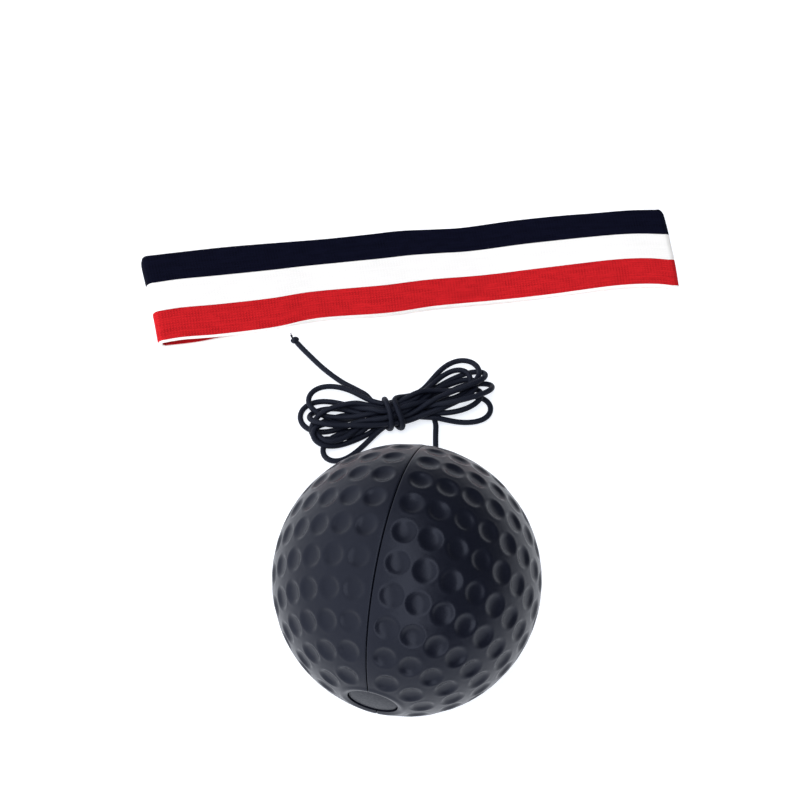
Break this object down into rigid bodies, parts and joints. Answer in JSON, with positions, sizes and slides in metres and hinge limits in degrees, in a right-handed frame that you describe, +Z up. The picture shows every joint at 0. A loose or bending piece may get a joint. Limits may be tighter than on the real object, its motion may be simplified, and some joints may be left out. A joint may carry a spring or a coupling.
{
  "type": "reflex ball headband",
  "caption": "Striped elastic head loop lying flat beside a dimpled foam ball on a thin elastic cord wound into a hank, for boxing reaction drills.",
  "frame": {"origin": "on the floor, under the middle of the box round the headband and ball", "axes": "+X along the flattened headband, +Y from the ball towards the headband, +Z up"},
  "size_m": [0.204, 0.1953, 0.08],
  "materials": {
    "navy_tape": "woven elastic tape, very dark navy, matt",
    "white_tape": "woven elastic tape, white, matt",
    "red_tape": "woven elastic tape, red, matt",
    "tape_end": "cut and turned end of the woven tape",
    "thread": "polyester sewing thread",
    "ball_foam": "moulded foam with a satin black skin",
    "plug_rubber": "smooth dark grey rubber",
    "washer_plastic": "plain moulded plastic",
    "braided_cord": "black braid over an elastic core"
  },
  "bodies": {
    "headband": {"navy_stripe_lower": "navy_tape", "white_stripe_lower": "white_tape", "red_stripe_lower": "red_tape", "seam_overlap": "tape_end", "seam_stitch_row_1": "thread", "seam_stitch_row_2": "thread"},
    "headband_top": {"navy_stripe_upper": "navy_tape", "white_stripe_upper": "white_tape", "red_stripe_upper": "red_tape"},
    "cord": {"cord_hank": "braided_cord", "cord_wrap_turn_1": "braided_cord", "cord_wrap_turn_2": "braided_cord", "cord_tail": "braided_cord", "cord_end_knot": "braided_cord"},
    "lead": {"cord_lead": "braided_cord"},
    "anchor": {"cord_in_ball": "braided_cord", "anchor_washer": "washer_plastic", "anchor_knot": "braided_cord"},
    "ball": {"ball_half_left": "ball_foam", "ball_half_right": "ball_foam", "ball_plug": "plug_rubber"}
  },
  "joints": [
    {"name": "headband_open", "type": "slide", "parent": "headband", "child": "headband_top", "axis": [0, 0, 1], "range_m": [0, 0.06], "stiffness_N_per_m": 20},
    {"name": "cord_apart", "type": "slide", "parent": "headband", "child": "cord", "axis": [0, -1, 0], "range_m": [0, 0.06]},
    {"name": "cord_stretch", "type": "slide", "parent": "cord", "child": "lead", "axis": [-0.1515, -0.9885, 0], "range_m": [0, 0.03], "stiffness_N_per_m": 25, "deforming": ["cord_lead"]},
    {"name": "ball_swing", "type": "hinge", "parent": "lead", "child": "anchor", "pos_m": [-0.00517, -0.02028, 0.038], "axis": [0, 0, 1], "range_deg": [-30, 30]},
    {"name": "ball_spin", "type": "hinge", "parent": "anchor", "child": "ball", "pos_m": [-0.0197, -0.0575, 0.04], "axis": [0.3631, 0.9304, -0.05], "continuous": true}
  ]
}
